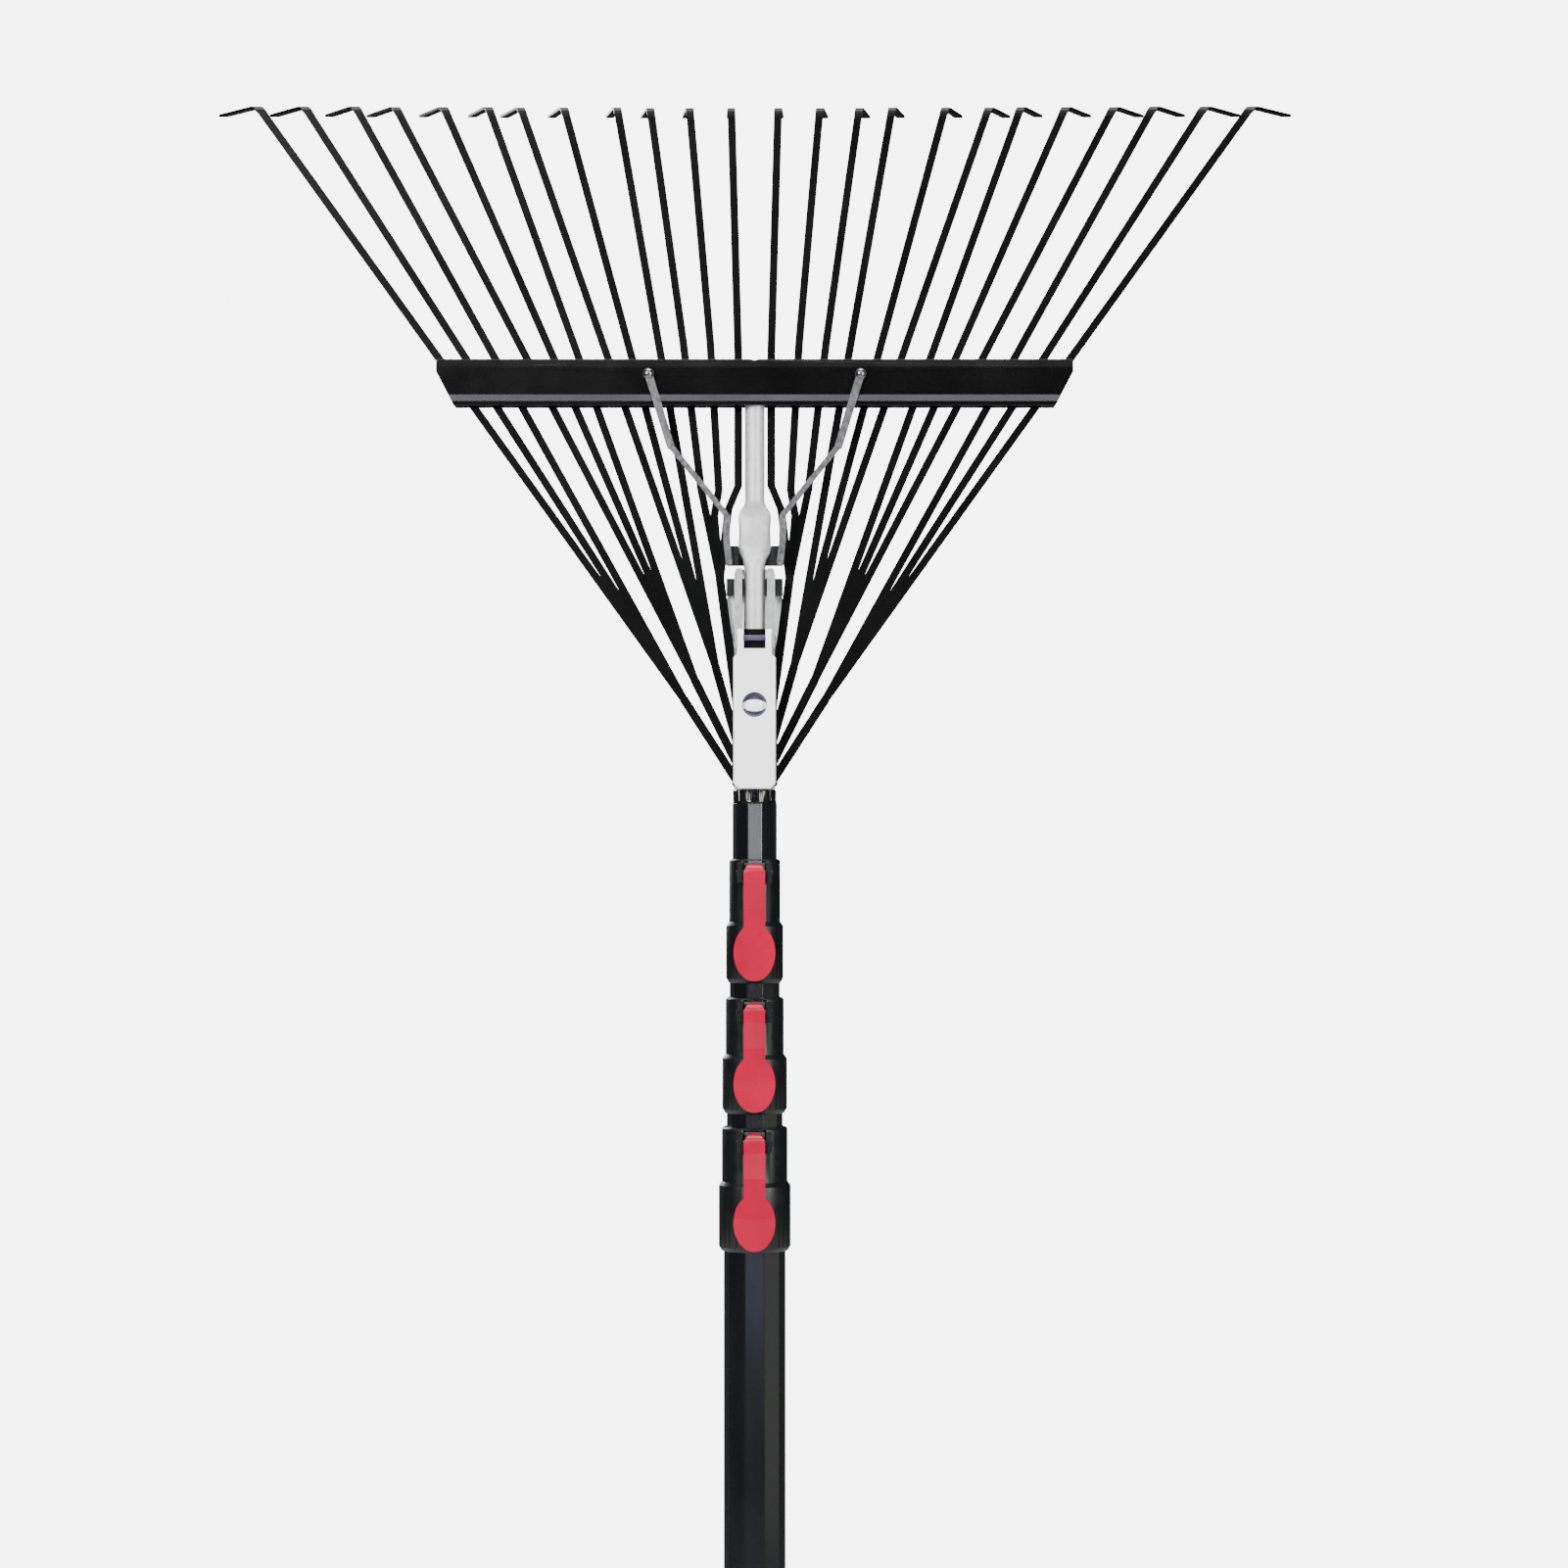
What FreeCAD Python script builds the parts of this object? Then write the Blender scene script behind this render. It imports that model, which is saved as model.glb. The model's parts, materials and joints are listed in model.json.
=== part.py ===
import FreeCAD, Part
import Sketcher
import math
import os

from FreeCAD import Placement, Rotation, Vector

# Leaf rake: a four-section telescopic pole and a fan head of eight three-tine leaves.
# +Z runs up the pole to the tine tips, the hooks point to +Y (the back), X runs across the fan.
# The origin is the centre of the pole's butt end. Lengths are in millimetres.

SIZES = {
    # a length that passes through anything here, a small edge break, the play on a pin
    "through": 200.0, "edge": 1.0, "pin_fit": 0.05,
    # pole tubes: decagons, radius to the corners
    "outer_radius": 17.5, "second_radius": 15.85, "third_radius": 14.2, "fourth_radius": 12.55,
    "tube_wall": 0.84,
    "outer_bottom": 22.0, "outer_top": 626.0,
    "second_bottom": 48.0, "second_top": 699.0,
    "third_bottom": 74.0, "third_top": 773.0,
    "fourth_bottom": 100.0, "fourth_top": 842.0,
    "plug_height": 18.0, "plug_clearance": 0.35, "plug_bore": 4.0,
    # end cap
    "cap_radius": 19.6, "cap_height": 48.0, "cap_edge": 3.0, "hang_radius": 4.5, "hang_height": 11.0,
    # locks: base, shoulder and top heights, then the wide and narrow radii
    "lower_base": 590.5, "lower_shoulder": 628.0, "lower_crown": 660.0,
    "lower_wide": 20.25, "lower_narrow": 18.5,
    "middle_base": 667.8, "middle_shoulder": 699.5, "middle_crown": 732.8,
    "middle_wide": 18.2, "middle_narrow": 16.4,
    "upper_base": 741.1, "upper_shoulder": 774.0, "upper_crown": 810.6,
    "upper_wide": 16.1, "upper_narrow": 14.35,
    "lock_chamfer": 2.6, "lock_clearance": 0.35, "lock_lip": 1.5, "shoulder_drop": 1.4,
    "ear_gap": 0.4, "ear_front": 2.6, "ear_depth": 9.5, "hub_room": 1.2, "hub_space": 5.0,
    "shoe_play": 0.35, "shoe_side": 0.3, "pin_proud": 0.6,
    # cam levers
    "tongue_width": 12.1, "paddle_width": 23.4, "paddle_height": 32.0, "hub_radius": 5.5,
    "hub_drop": 7.5, "hub_reach": 5.0, "lever_thickness": 4.2, "lever_gap": 0.75, "pin_radius": 1.6,
    "ear_width": 3.2, "lever_foot": 1.5, "lever_toe": 18.0, "lever_flare": 1.4, "lever_lean": 0.8,
    "lever_elbow": 20.0, "lever_trim": 2.0,
    # ferrule
    "ferrule_radius": 12.2, "ferrule_top": 849.7, "spigot_radius": 10.9, "spigot_depth": 28.0,
    "flute_radius": 1.3, "flute_count": 12, "flute_offset": 0.5, "flute_start": 1.4,
    "ferrule_edge": 0.8, "ferrule_pin_drop": 14.0, "pin_recess": 0.3,
    # bracket plates
    "plate_thickness": 1.5, "plate_gap": 6.5, "plate_half": 11.4, "bracket_top": 974.0,
    "wing_half": 15.6, "wing_height": 957.0, "wing_start": 922.0,
    "fork_half": 7.0, "fork_start": 903.0, "wing_step": 1.2, "wing_run": 6.0, "wing_tip": 3.0,
    "top_corner": 4.0, "clamp_ear": 1.5, "clamp_ear_front": 2.6, "clamp_ear_half": 6.0,
    # clamp lever on the head
    "clamp_pivot": 934.7, "clamp_pivot_depth": 13.4, "clamp_half": 11.9, "clamp_bottom": 850.2,
    "clamp_top": 940.5, "clamp_window": 6.3, "clamp_depth": 7.0, "clamp_front": 18.6,
    "clamp_end": 5.2, "clamp_corner": 3.0, "clamp_step": 2.1, "clamp_step_low": 17.0,
    "clamp_step_high": 15.0, "clamp_fillet": 1.6, "clamp_skin": 2.2, "clamp_gap_drop": 6.1,
    "clamp_pin_proud": 0.4, "shoe_depth": 4.6, "shoe_height": 11.4, "shoe_drop": 6.3,
    "dome_height": 897.2, "dome_radius": 5.6, "dome_hole": 7.0, "dome_seat": 3.2, "dome_disc": 1.6,
    "dome_sphere": 7.5, "dome_sink": 5.0,
    # sliding frame
    "stem_radius": 5.5, "stem_low_radius": 6.05, "stem_wall": 1.1, "stem_bottom": 880.0, "stem_top": 1089.0,
    "spade_bottom": 974.4, "spade_low": 985.4, "spade_high": 1003.6, "spade_top": 1012.0,
    "spade_half": 9.1, "spade_thin": 1.5, "spade_plug": 4.0, "spade_steps": 4,
    "bush_bottom": 958.7, "bush_top": 968.2, "bush_half": 15.8, "bush_clearance": 0.05,
    "yoke_half": 15.6, "yoke_bottom": 975.6, "yoke_top": 986.5, "yoke_front": 7.8, "yoke_back": 2.5,
    "yoke_window": 9.3,
    "bar_bottom": 1065.4, "bar_top": 1091.6, "bar_half_top": 179.0, "bar_half_bottom": 169.0,
    "bar_straight": 7.0, "bar_front_inner": 3.6, "bar_back_inner": 4.7, "bar_sheet": 1.5,
    "bar_depth": 4.0, "bar_bead": 1.2, "bead_top": 6.1, "bead_foot": 2.4, "bar_slope": 4.6,
    "bar_slope_lip": 1.6,
    "brace_rivet": 59.6, "spacer_inner": 114.5, "spacer_outer": 161.0, "spacer_radius": 1.3,
    "brace_hole_drop": 8.6, "spacer_drop": 13.0, "brace_play": 0.1,
    "brace_thickness": 1.5, "brace_eye": 3.0, "brace_half": 2.2, "brace_knee": 47.2,
    "brace_knee_height": 1042.6, "brace_slim": 1.6, "brace_foot": 15.7, "brace_leg": 1.9,
    "brace_leg_low": 990.0, "brace_toe": 14.4, "brace_toe_half": 1.9, "brace_head": 3.2,
    "brace_head_sphere": 3.4, "brace_head_sink": 1.8,
    # leaves
    "tine_width": 4.5, "tang_width": 5.0, "leaf_thickness": 1.5, "leaf_pitch": 1.9, "first_layer": -2.3,
    "eye_radius": 3.3, "rivet_radius": 1.5, "rivet_shoulder": 1.9, "rivet_fit": 0.06,
    "rivet_play": 0.1,
    # each leaf's rivet height, the neck where its tines part, and where its tips are
    "outer_rivet": 853.7, "outer_neck_x": 39.7, "outer_neck_z": 900.2,
    "outer_tip_1": 224.6, "outer_tip_2": 253.2, "outer_tip_3": 279.5,
    "third_rivet": 863.3, "third_neck_x": 33.6, "third_neck_z": 911.0,
    "third_tip_1": 149.9, "third_tip_2": 175.1, "third_tip_3": 202.2,
    "second_rivet": 874.7, "second_neck_x": 22.1, "second_neck_z": 918.9,
    "second_tip_1": 77.5, "second_tip_2": 107.4, "second_tip_3": 131.9,
    "inner_rivet": 893.3, "inner_neck_x": 19.6, "inner_neck_z": 968.0,
    "inner_tip_1": 13.2, "inner_tip_2": 36.7, "inner_tip_3": 58.9,
    "pivot_half": 9.6, "tip_height": 1234.0, "hook_depth": 35.0, "hook_bend": 5.0,
}

# The leaves of a side, outermost first. The inner leaf's tines bend on the way to their tips:
# for each, the points (x, z) that it passes.
LEAVES = ("outer", "third", "second", "inner")
TINES_EACH = 3
INNER_BENDS = (
    ((14.9, 1007.5), (9.3, 1021.0), (9.3, 1095.0)),
    ((22.8, 1004.0), (20.3, 1018.5), (25.0, 1101.0)),
    ((30.2, 1018.5), (40.2, 1101.0)),
)

doc = FreeCAD.newDocument("leaf_rake")
sheet = doc.addObject("Spreadsheet::Sheet", "sizes")
for row, (alias, value) in enumerate(SIZES.items(), start=1):
    sheet.set("A%d" % row, alias)
    sheet.set("B%d" % row, str(value))
    sheet.setAlias("B%d" % row, alias)
doc.recompute()

parts = []
UP = Rotation()
ALONG_X = Rotation(Vector(0, 1, 0), 90)
ALONG_Y = Rotation(Vector(1, 0, 0), -90)


def size(alias):
    """The value of one cell of the sheet."""
    return float(sheet.get(alias))


def bind(item, **expressions):
    """Tie properties of an object to expressions over the sheet's aliases."""
    for name, expression in expressions.items():
        for alias in sorted(SIZES, key=len, reverse=True):
            expression = replace_word(expression, alias, "sizes." + alias)
        item.setExpression(name.replace("__", "."), expression)
    return item


def replace_word(text, word, new):
    """Replace a whole word that isn't already part of a longer name."""
    out, rest = "", text
    while word in rest:
        before, rest = rest.split(word, 1)
        joined = before[-1:].isalnum() or before[-1:] in ("_", ".") or rest[:1].isalnum()
        joined = joined or rest[:1] == "_"
        out += before + (word if joined else new)
    return out + rest


def part(item, label):
    """Name an object as a finished sub-part."""
    item.Label = label
    parts.append(item)
    return item


def box(name, x_size, y_size, z_size, x, y, z):
    """A box from its low corner, every size an expression."""
    item = doc.addObject("Part::Box", name)
    bind(item, Length=x_size, Width=y_size, Height=z_size)
    return bind(item, Placement__Base__x=x, Placement__Base__y=y, Placement__Base__z=z)


def rod(name, radius, length, x, y, z, turn=UP):
    """A cylinder that starts at a point and runs along Z, or along X or Y when turned."""
    item = doc.addObject("Part::Cylinder", name)
    item.Placement = Placement(Vector(), turn)
    bind(item, Radius=radius, Height=length)
    return bind(item, Placement__Base__x=x, Placement__Base__y=y, Placement__Base__z=z)


def decagon(name, radius, height, z):
    """A ten-sided prism with one flat facing the front."""
    item = doc.addObject("Part::Prism", name)
    item.Polygon = 10
    return bind(item, Circumradius=radius, Height=height, Placement__Base__z=z)


def cut(name, base, *tools):
    """The base with the tools taken away."""
    item = doc.addObject("Part::Cut", name)
    item.Base = base
    item.Tool = tools[0] if len(tools) == 1 else fuse(name + "_tools", *tools)
    return item


def fuse(name, *shapes):
    """Several shapes made one."""
    item = doc.addObject("Part::MultiFuse", name)
    item.Shapes = list(shapes)
    return item


def common(name, base, tool):
    """What two shapes share."""
    item = doc.addObject("Part::Common", name)
    item.Base = base
    item.Tool = tool
    return item


def group(name, *shapes):
    """Separate solids kept in one object."""
    item = doc.addObject("Part::Compound", name)
    item.Links = list(shapes)
    return item


def feature(name, shape):
    """An object that holds a shape made directly."""
    item = doc.addObject("Part::Feature", name)
    item.Shape = shape
    return item


def sketch_body(name, plane_role, edges):
    """A body with one closed sketch of straight and curved edges on one of its own planes."""
    body = doc.addObject("PartDesign::Body", name)
    sketch = body.newObject("Sketcher::SketchObject", name + "_sketch")
    plane = [item for item in body.Origin.OriginFeatures if item.Role == plane_role][0]
    sketch.AttachmentSupport = [(plane, "")]
    sketch.MapMode = "FlatFace"
    for edge in edges:
        sketch.addGeometry(edge, False)
    for index in range(len(edges)):
        after = (index + 1) % len(edges)
        sketch.addConstraint(Sketcher.Constraint("Coincident", index, 2, after, 1))
    return body, sketch


def outline(points):
    """Straight edges through a closed list of (u, v) points."""
    ends = [Vector(u, v, 0) for u, v in points]
    return [Part.LineSegment(ends[i - 1], ends[i]) for i in range(len(ends))]


def pad(name, plane_role, edges, length):
    """A sketch padded the same distance to both sides of its plane."""
    body, sketch = sketch_body(name, plane_role, edges)
    item = body.newObject("PartDesign::Pad", name + "_pad")
    item.Profile = sketch
    item.Midplane = True
    bind(item, Length=length)
    body.Tip = item
    return body


def revolution(name, points):
    """A full turn about Z of an outline of (radius, height) points."""
    body, sketch = sketch_body(name, "XZ_Plane", outline(points))
    item = body.newObject("PartDesign::Revolution", name + "_turn")
    item.Profile = sketch
    item.ReferenceAxis = (sketch, ["V_Axis"])
    item.Angle = 360
    body.Tip = item
    return body


def tube(name, key):
    """One pole section."""
    height = "%s_top - %s_bottom" % (key, key)
    skin = decagon(name + "_skin", "%s_radius" % key, height, "%s_bottom" % key)
    bore = decagon(name + "_bore", "%s_radius - tube_wall" % key, height + " + 2", "%s_bottom - 1" % key)
    part(cut(name, skin, bore), name)


def guide_plug(name, key, outer_key):
    """The plug on a section's bottom end, which runs inside the next larger tube."""
    bottom = "%s_bottom - plug_height" % key
    skin = decagon(name + "_skin", "%s_radius - tube_wall - plug_clearance" % outer_key, "plug_height", bottom)
    bore = rod(name + "_bore", "plug_bore", "plug_height + 2", "0", "0", bottom + " - 1")
    part(cut(name, skin, bore), name)


def end_cap():
    """A rubber cap around the butt end, with a hole across it to hang the rake by."""
    radius, height, edge = size("cap_radius"), size("cap_height"), size("cap_edge")
    seat, grip, rim = size("outer_bottom"), size("outer_radius"), size("edge")
    points = [
        (0, 0), (radius - edge, 0), (radius, edge), (radius, height - rim), (radius - rim, height),
        (grip, height), (grip, seat), (0, seat),
    ]
    cap = revolution("end_cap_turned", points)
    hole = rod("end_cap_hole", "hang_radius", "4 * cap_radius", "0", "-2 * cap_radius", "hang_height", ALONG_Y)
    part(cut("end_cap", cap, hole), "end_cap")


def lock(name, own, inner):
    """A lock's collar, cam lever, pin and shoe: own is the tube it sits on, inner the one it grips."""
    base, shoulder, crown = size(name + "_base"), size(name + "_shoulder"), size(name + "_crown")
    wide, narrow = size(name + "_wide"), size(name + "_narrow")
    seat = size(own + "_top")
    grip = size(own + "_radius")
    slide = size(inner + "_radius") + size("lock_clearance")
    chamfer, lip, rim = size("lock_chamfer"), size("lock_lip"), size("edge")
    points = [
        (grip, base), (wide - lip, base), (wide, base + chamfer), (wide, shoulder - rim),
        (narrow, shoulder + size("shoulder_drop")), (narrow, crown - rim), (narrow - rim, crown),
        (slide, crown), (slide, seat), (grip, seat),
    ]
    collar = revolution(name + "_collar_turned", points)
    pivot = "%s_crown - hub_drop" % name
    reach = "%s_narrow + hub_reach" % name
    slot_width = "tongue_width + 2 * ear_gap"
    ear_outer = "tongue_width / 2 + ear_gap + ear_width"
    ears = box(name + "_ears", "2 * (%s)" % ear_outer, "ear_depth", "2 * hub_radius",
               "-(%s)" % ear_outer, "-(%s) - ear_front" % reach, "%s - hub_radius" % pivot)
    flat = "%s_radius * cos(18 deg)" % inner
    gap = box(name + "_gap", slot_width, "%s + hub_radius + hub_space - %s" % (reach, flat),
              "2 * (hub_radius + hub_room)", "-(%s) / 2" % slot_width,
              "-(%s) - hub_radius - hub_space" % reach, "%s - hub_radius - hub_room" % pivot)
    bore = rod(name + "_ear_bore", "pin_radius", "through", "-through / 2", "-(%s)" % reach, pivot,
               ALONG_X)
    core = rod(name + "_core", "%s_radius + lock_clearance" % inner, "through", "0", "0",
               "%s_top" % own)
    part(cut(name + "_lock_collar", fuse(name + "_blank", collar, ears), gap, bore, core),
         name + "_lock_collar")
    cam_lever(name, pivot, reach)
    pin_length = "2 * (%s + pin_proud)" % ear_outer
    part(rod(name + "_lever_pin", "pin_radius", pin_length, "-(%s) / 2" % pin_length,
             "-(%s)" % reach, pivot, ALONG_X), name + "_lever_pin")
    shoe_front = "%s_narrow - hub_radius + hub_reach - shoe_play" % name
    shoe_back = "%s + shoe_play" % flat
    part(box(name + "_clamp_shoe", "tongue_width - 2 * shoe_side",
             "(%s) - (%s)" % (shoe_front, shoe_back), "2 * hub_radius",
             "-tongue_width / 2 + shoe_side", "-(%s)" % shoe_front, "%s - hub_radius" % pivot),
         name + "_clamp_shoe")


def cam_lever(name, pivot, reach):
    """A red lever: a side profile padded across X, shared with its front outline."""
    base, crown = size(name + "_base"), size(name + "_crown")
    depth = size(name + "_narrow") + size("hub_reach")
    height = crown - size("hub_drop")
    hub = size("hub_radius")
    inner = size(name + "_wide") + size("lever_gap")
    outer = inner + size("lever_thickness")
    foot = base + size("lever_foot")
    toe, elbow = foot + size("lever_toe"), height - size("lever_elbow")
    flare, lean, rim = size("lever_flare"), size("lever_lean"), size("edge")
    points = [
        (-depth - hub, height), (-depth - hub, height - hub), (-outer - lean / 2, elbow),
        (-outer, toe), (-outer - flare, foot + rim), (-outer - lean, foot), (-inner - lean, foot),
        (-inner, foot + 4 * rim), (-inner, elbow + hub), (-depth + rim, height - hub), (-depth, height),
    ]
    arm = pad(name + "_lever_arm", "YZ_Plane", outline(points), "paddle_width + lever_trim")
    boss = rod(name + "_lever_hub", "hub_radius", "paddle_width + lever_trim",
               "-(paddle_width + lever_trim) / 2", "-(%s)" % reach, pivot, ALONG_X)
    side = fuse(name + "_lever_side", arm, boss)
    front = fuse(name + "_lever_front", *lever_front(name, height, foot))
    blank = common(name + "_lever_blank", side, front)
    bore = rod(name + "_lever_bore", "pin_radius + pin_fit", "through", "-through / 2",
               "-(%s)" % reach, pivot, ALONG_X)
    part(cut(name + "_cam_lever", blank, bore), name + "_cam_lever")


def lever_front(name, height, foot):
    """The lever seen from the front: a tongue with a rounded top and an oval paddle."""
    half = size("tongue_width") / 2
    crown = height + size("hub_radius") - half
    middle = foot + size("paddle_height") / 2
    tongue = [
        Part.LineSegment(Vector(-half, middle, 0), Vector(half, middle, 0)),
        Part.LineSegment(Vector(half, middle, 0), Vector(half, crown, 0)),
        Part.Arc(Vector(half, crown, 0), Vector(0, crown + half, 0), Vector(-half, crown, 0)),
        Part.LineSegment(Vector(-half, crown, 0), Vector(-half, middle, 0)),
    ]
    tall, wide = size("paddle_height") / 2, size("paddle_width") / 2
    oval = doc.addObject("Part::Ellipse", name + "_oval")
    oval.MajorRadius = tall
    oval.MinorRadius = wide
    turn = Rotation(Vector(1, 0, 0), 90).multiply(Rotation(Vector(0, 0, 1), 90))
    oval.Placement = Placement(Vector(0, 0, middle), turn)
    paddle = doc.addObject("Part::Extrusion", name + "_paddle")
    paddle.Base = oval
    paddle.DirMode = "Custom"
    paddle.Dir = Vector(0, -1, 0)
    paddle.LengthFwd = size("through")
    paddle.Solid = True
    return pad(name + "_tongue", "XZ_Plane", tongue, "through"), paddle


def ferrule():
    """The fluted plug that closes the top tube and carries the head."""
    radius, top, seat = size("ferrule_radius"), size("ferrule_top"), size("fourth_top")
    spigot, low = size("spigot_radius"), seat - size("spigot_depth")
    rim, crown = size("edge"), size("ferrule_edge")
    points = [
        (0, low), (spigot - rim, low), (spigot, low + rim), (spigot, seat),
        (radius, seat), (radius, top - crown), (radius - crown, top), (0, top),
    ]
    blank = revolution("ferrule_turned", points)
    flutes = []
    for index in range(int(size("flute_count"))):
        angle = math.radians(360 / size("flute_count") * (index + 0.5))
        flute = rod("flute_%d" % index, "flute_radius", "ferrule_top - fourth_top",
                    "(ferrule_radius + flute_offset) * %.6f" % math.sin(angle),
                    "(ferrule_radius + flute_offset) * %.6f" % math.cos(angle),
                    "fourth_top + flute_start")
        flutes.append(flute)
    height = "fourth_top - ferrule_pin_drop"
    hole = rod("ferrule_hole", "pin_radius", "through", "0", "-through / 2", height, ALONG_Y)
    part(cut("ferrule", blank, hole, *flutes), "ferrule")
    part(rod("ferrule_pin", "pin_radius", "2 * (spigot_radius - pin_recess)", "0",
             "-spigot_radius + pin_recess", height, ALONG_Y), "ferrule_pin")


def plate(name, points, y_low):
    """A flat sheet of the plates' thickness, cut to an outline of (x, z) points."""
    ends = [Vector(x, y_low, z) for x, z in points]
    face = Part.Face(Part.makePolygon(ends + ends[:1]))
    return feature(name, face.extrude(Vector(0, size("plate_thickness"), 0)))


def mirrored(points):
    """A half outline of (x, z) points closed by its mirror image."""
    return points + [(-x, z) for x, z in reversed(points)]


def rivet_bores(name):
    """The rivet holes through the bracket plates."""
    return [rod("%s_bore_%s_%s" % (name, leaf, side), "rivet_radius", "through",
                "%d * pivot_half" % sign, "-through / 2", leaf + "_rivet", ALONG_Y)
            for leaf in LEAVES for side, sign in (("left", -1), ("right", 1))]


def bracket():
    """The two plates that hold the leaves between them."""
    foot, top, half = size("ferrule_top"), size("bracket_top"), size("plate_half")
    wing, wing_z, start = size("wing_half"), size("wing_height"), size("wing_start")
    step, tip, corner, rim = size("wing_step"), size("wing_tip"), size("top_corner"), size("edge")
    back = plate("back_plate", mirrored([
        (half, foot), (half, start - size("wing_run")), (half + step, start), (wing, wing_z),
        (wing - step / 2, wing_z + tip), (half, top - corner), (half - corner / 2, top),
    ]), size("plate_gap"))
    part(cut("bracket_back", back, *rivet_bores("back")), "bracket_back")
    fork, fork_z = size("fork_half"), size("fork_start")
    front = plate("front_plate", [
        (-half, foot), (half, foot), (half, top - tip), (half - rim, top), (fork, top), (fork, fork_z),
        (-fork, fork_z), (-fork, top), (-half + rim, top), (-half, top - tip),
    ], -size("plate_gap") - size("plate_thickness"))
    ear_front = "clamp_pivot_depth + clamp_ear_front"
    ears = [box("clamp_ear_%s" % side, "clamp_ear", "%s - plate_gap - plate_thickness" % ear_front,
                "2 * clamp_ear_half", x, "-(%s)" % ear_front, "clamp_pivot - clamp_ear_half")
            for side, x in (("left", "-plate_half"), ("right", "plate_half - clamp_ear"))]
    bore = rod("clamp_ear_bore", "pin_radius", "through", "-through / 2", "-clamp_pivot_depth",
               "clamp_pivot", ALONG_X)
    blank = fuse("front_blank", front, *ears)
    part(cut("bracket_front", blank, bore, *rivet_bores("front")), "bracket_front")


def leaf_layer(leaf):
    """The middle of a leaf's sheet, front to back."""
    return size("first_layer") + size("leaf_pitch") * LEAVES.index(leaf)


def rivets():
    """A shouldered rivet through each leaf's eye and both plates."""
    solids = []
    outer = size("plate_gap") + size("plate_thickness")
    inner = size("plate_gap")
    half = size("leaf_thickness") / 2 + size("rivet_play")
    for leaf in LEAVES:
        layer = leaf_layer(leaf)
        for sign in (-1, 1):
            start = Vector(sign * size("pivot_half"), -outer, size(leaf + "_rivet"))
            along = Vector(0, 1, 0)
            shank = Part.makeCylinder(size("rivet_radius"), 2 * outer, start, along)
            front = Part.makeCylinder(size("rivet_shoulder"), layer - half + inner,
                                      Vector(start.x, -inner, start.z), along)
            back = Part.makeCylinder(size("rivet_shoulder"), inner - layer - half,
                                     Vector(start.x, layer + half, start.z), along)
            solids.append(shank.fuse([front, back]).removeSplitter())
    part(feature("leaf_rivets", Part.makeCompound(solids)), "leaf_rivets")


def guide_bush():
    """The nylon block that the stem runs in, open to the front, held between the plates."""
    block = box("bush_block", "2 * bush_half", "2 * plate_gap", "bush_top - bush_bottom",
                "-bush_half", "-plate_gap", "bush_bottom")
    bore_radius = "stem_low_radius + bush_clearance"
    bore = rod("bush_bore", bore_radius, "through", "0", "0", "bush_bottom - through / 2")
    mouth = box("bush_mouth", "2 * (%s)" % bore_radius, "through", "through", "-(%s)" % bore_radius,
                "-through", "bush_bottom - through / 2")
    part(cut("guide_bush", block, bore, mouth), "guide_bush")


def clamp_lever():
    """The bright lever that locks the stem: a channel with two prongs on a pin."""
    half, bottom, top = size("clamp_half"), size("clamp_bottom"), size("clamp_top")
    front, depth = size("clamp_front"), size("clamp_depth")
    corner, step, rim = size("clamp_corner"), size("clamp_step"), size("edge")
    low, high = top - size("clamp_step_low"), top - size("clamp_step_high")
    skin = mirrored([(half - corner, bottom), (half, bottom + corner), (half, low), (half - step, high),
                     (half - step, top - rim), (half - step - rim, top)])
    ends = [Vector(x, -front, z) for x, z in skin]
    blank = Part.Face(Part.makePolygon(ends + ends[:1])).extrude(Vector(0, depth, 0))
    edges = [edge for edge in blank.Edges if all(abs(v.Point.y + front) < 1e-6 for v in edge.Vertexes)]
    slab = feature("clamp_slab", blank.makeFillet(size("clamp_fillet"), edges))
    below = box("clamp_below", "through", "through", "through", "-through / 2", "-through / 2",
                "clamp_pivot - through")
    end = rod("clamp_end_round", "clamp_end", "through", "-through / 2", "-clamp_pivot_depth",
              "clamp_pivot", ALONG_X)
    body = common("clamp_blank", slab, fuse("clamp_reach", below, end))
    hollow = box("clamp_hollow", "2 * (clamp_half - clamp_skin)", "clamp_depth",
                 "clamp_pivot - clamp_bottom - 2 * clamp_gap_drop", "-clamp_half + clamp_skin",
                 "-clamp_front + clamp_skin", "clamp_bottom + 2 * clamp_skin")
    window = box("clamp_gap", "2 * clamp_window", "through", "through", "-clamp_window",
                 "-through / 2", "clamp_pivot - clamp_gap_drop")
    hole = rod("clamp_dome_hole", "dome_hole", "through", "0", "-through / 2", "dome_height", ALONG_Y)
    bore = rod("clamp_bore", "pin_radius + pin_fit", "through", "-through / 2", "-clamp_pivot_depth",
               "clamp_pivot", ALONG_X)
    part(cut("clamp_lever", body, hollow, window, hole, bore), "clamp_lever")
    dome()
    part(rod("clamp_pin", "pin_radius", "2 * (plate_half + clamp_pin_proud)",
             "-plate_half - clamp_pin_proud", "-clamp_pivot_depth", "clamp_pivot", ALONG_X), "clamp_pin")
    part(box("clamp_shoe", "2 * (clamp_window - shoe_side)", "shoe_depth", "shoe_height",
             "-clamp_window + shoe_side", "-stem_low_radius - shoe_play - shoe_depth",
             "clamp_pivot - shoe_drop"), "clamp_shoe")


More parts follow.
